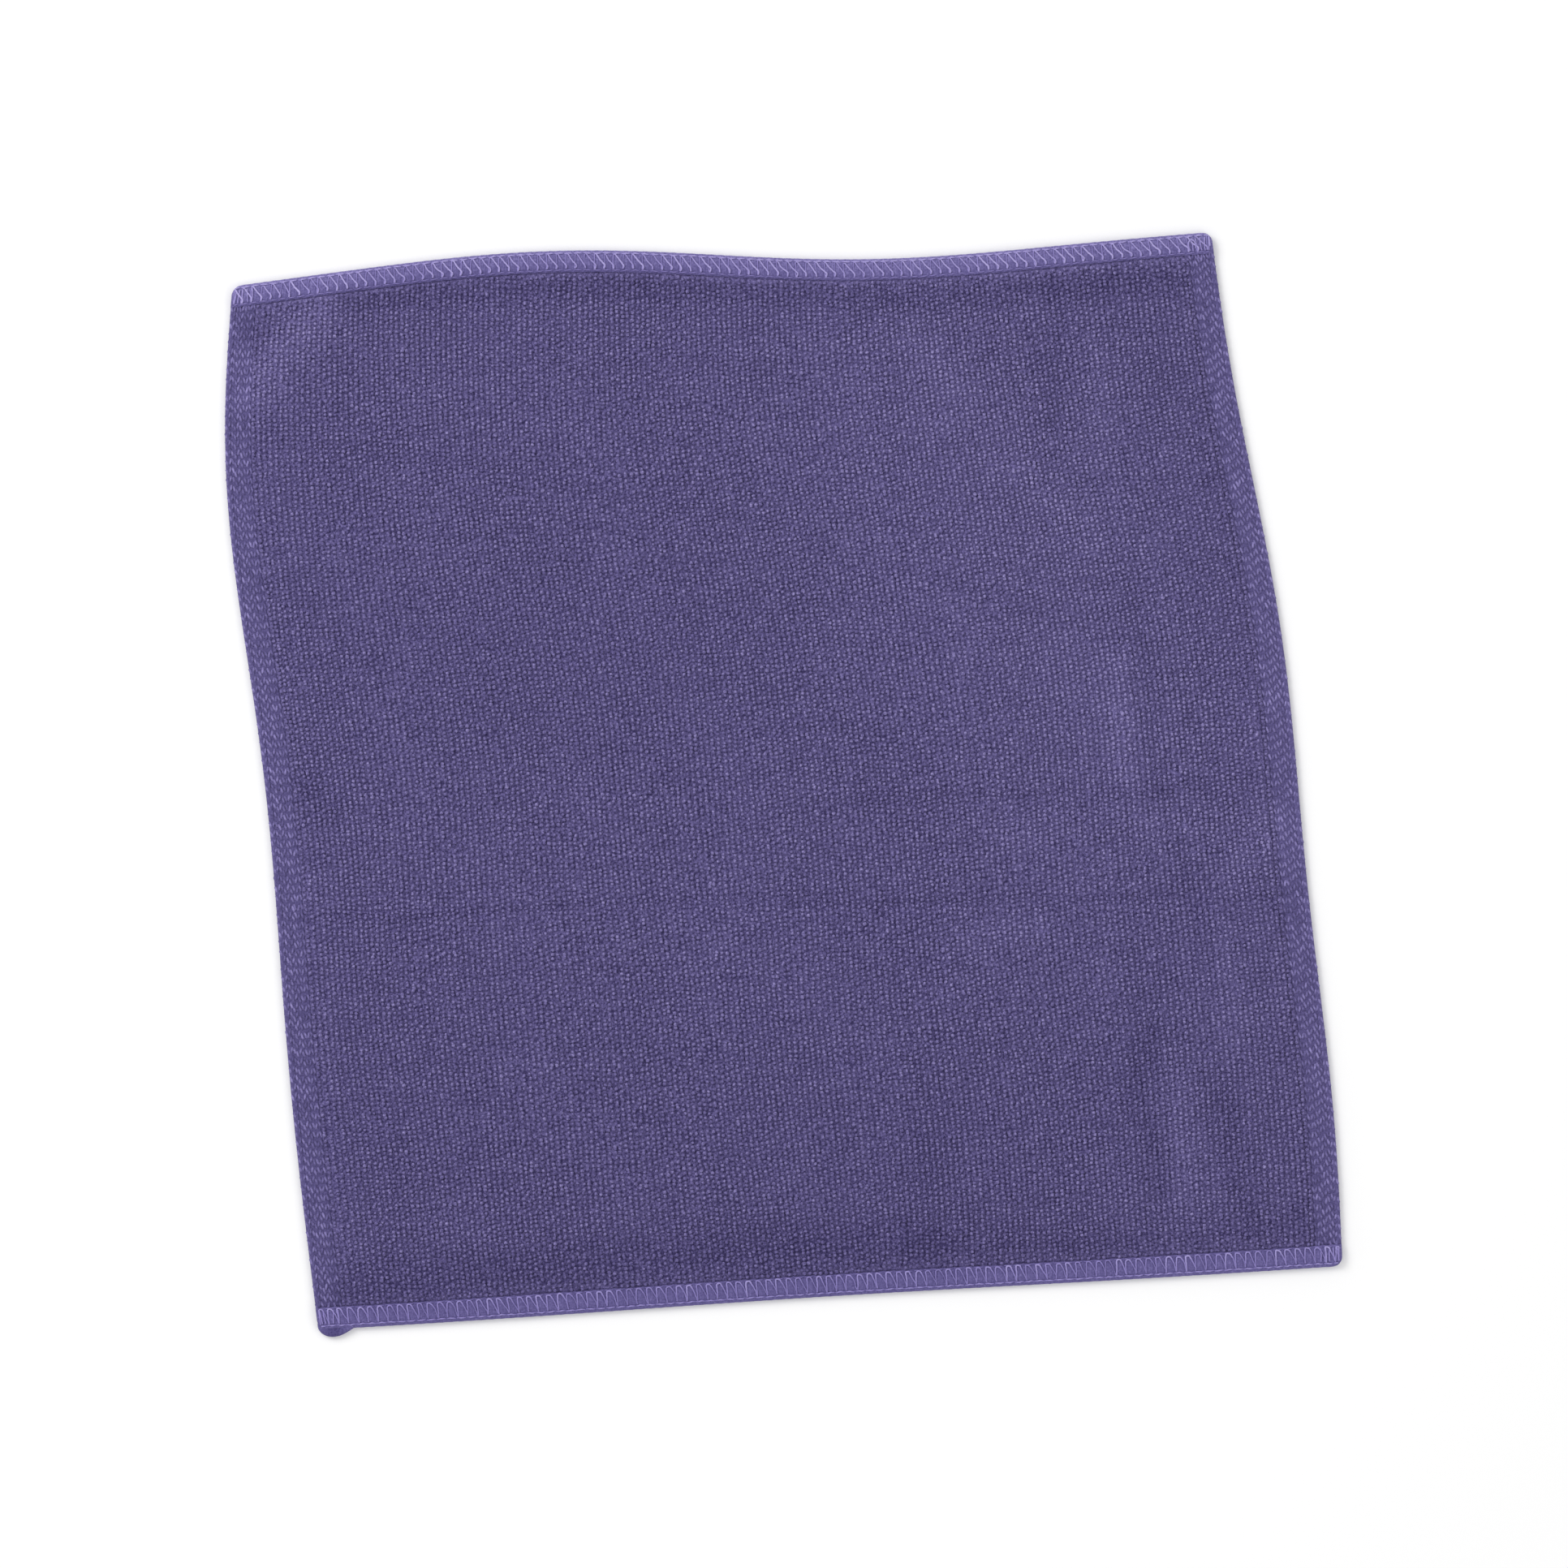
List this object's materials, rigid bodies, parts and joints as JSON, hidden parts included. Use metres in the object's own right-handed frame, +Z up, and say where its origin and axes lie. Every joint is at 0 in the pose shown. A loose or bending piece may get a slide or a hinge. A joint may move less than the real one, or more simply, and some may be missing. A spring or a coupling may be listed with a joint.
{
  "type": "quick-dry towel",
  "caption": "Small square loop-pile travel towel laid flat, with knitted selvedges down its sides and a turned, overlocked hem at its top and bottom.",
  "frame": {"origin": "centre of the towel's outline box, on the surface it lies on", "axes": "+X along the hems to the right, +Y from the bottom hem to the top hem, +Z up out of the face"},
  "size_m": [0.3126, 0.3136, 0.0025],
  "materials": {
    "loop_pile": "dusty violet microfibre loop pile, matt, with fine upright loops in close vertical wales",
    "ground_knit": "the same violet microfibre knitted flat and close, matt",
    "selvedge_knit": "violet knitted edge band without pile, with slanting chain stitches and a rolled rim",
    "hem_knit": "violet knit turned over once and pressed flat under the seam",
    "seam_thread": "lilac textured polyester overlocking thread with a soft sheen"
  },
  "bodies": {
    "root": {"face_pile": "loop_pile", "back_pile": "loop_pile", "ground_knit": "ground_knit", "left_selvedge": "selvedge_knit", "right_selvedge": "selvedge_knit", "bottom_left_tuck": "selvedge_knit", "bottom_hem_fold": "hem_knit", "top_hem_fold": "hem_knit", "bottom_hem_needle_thread": "seam_thread", "bottom_hem_edge_chain": "seam_thread", "bottom_hem_upper_looper_thread": "seam_thread", "bottom_hem_lower_looper_thread": "seam_thread", "top_hem_needle_thread": "seam_thread", "top_hem_edge_chain": "seam_thread", "top_hem_upper_looper_thread": "seam_thread", "top_hem_lower_looper_thread": "seam_thread"}
  },
  "joints": []
}
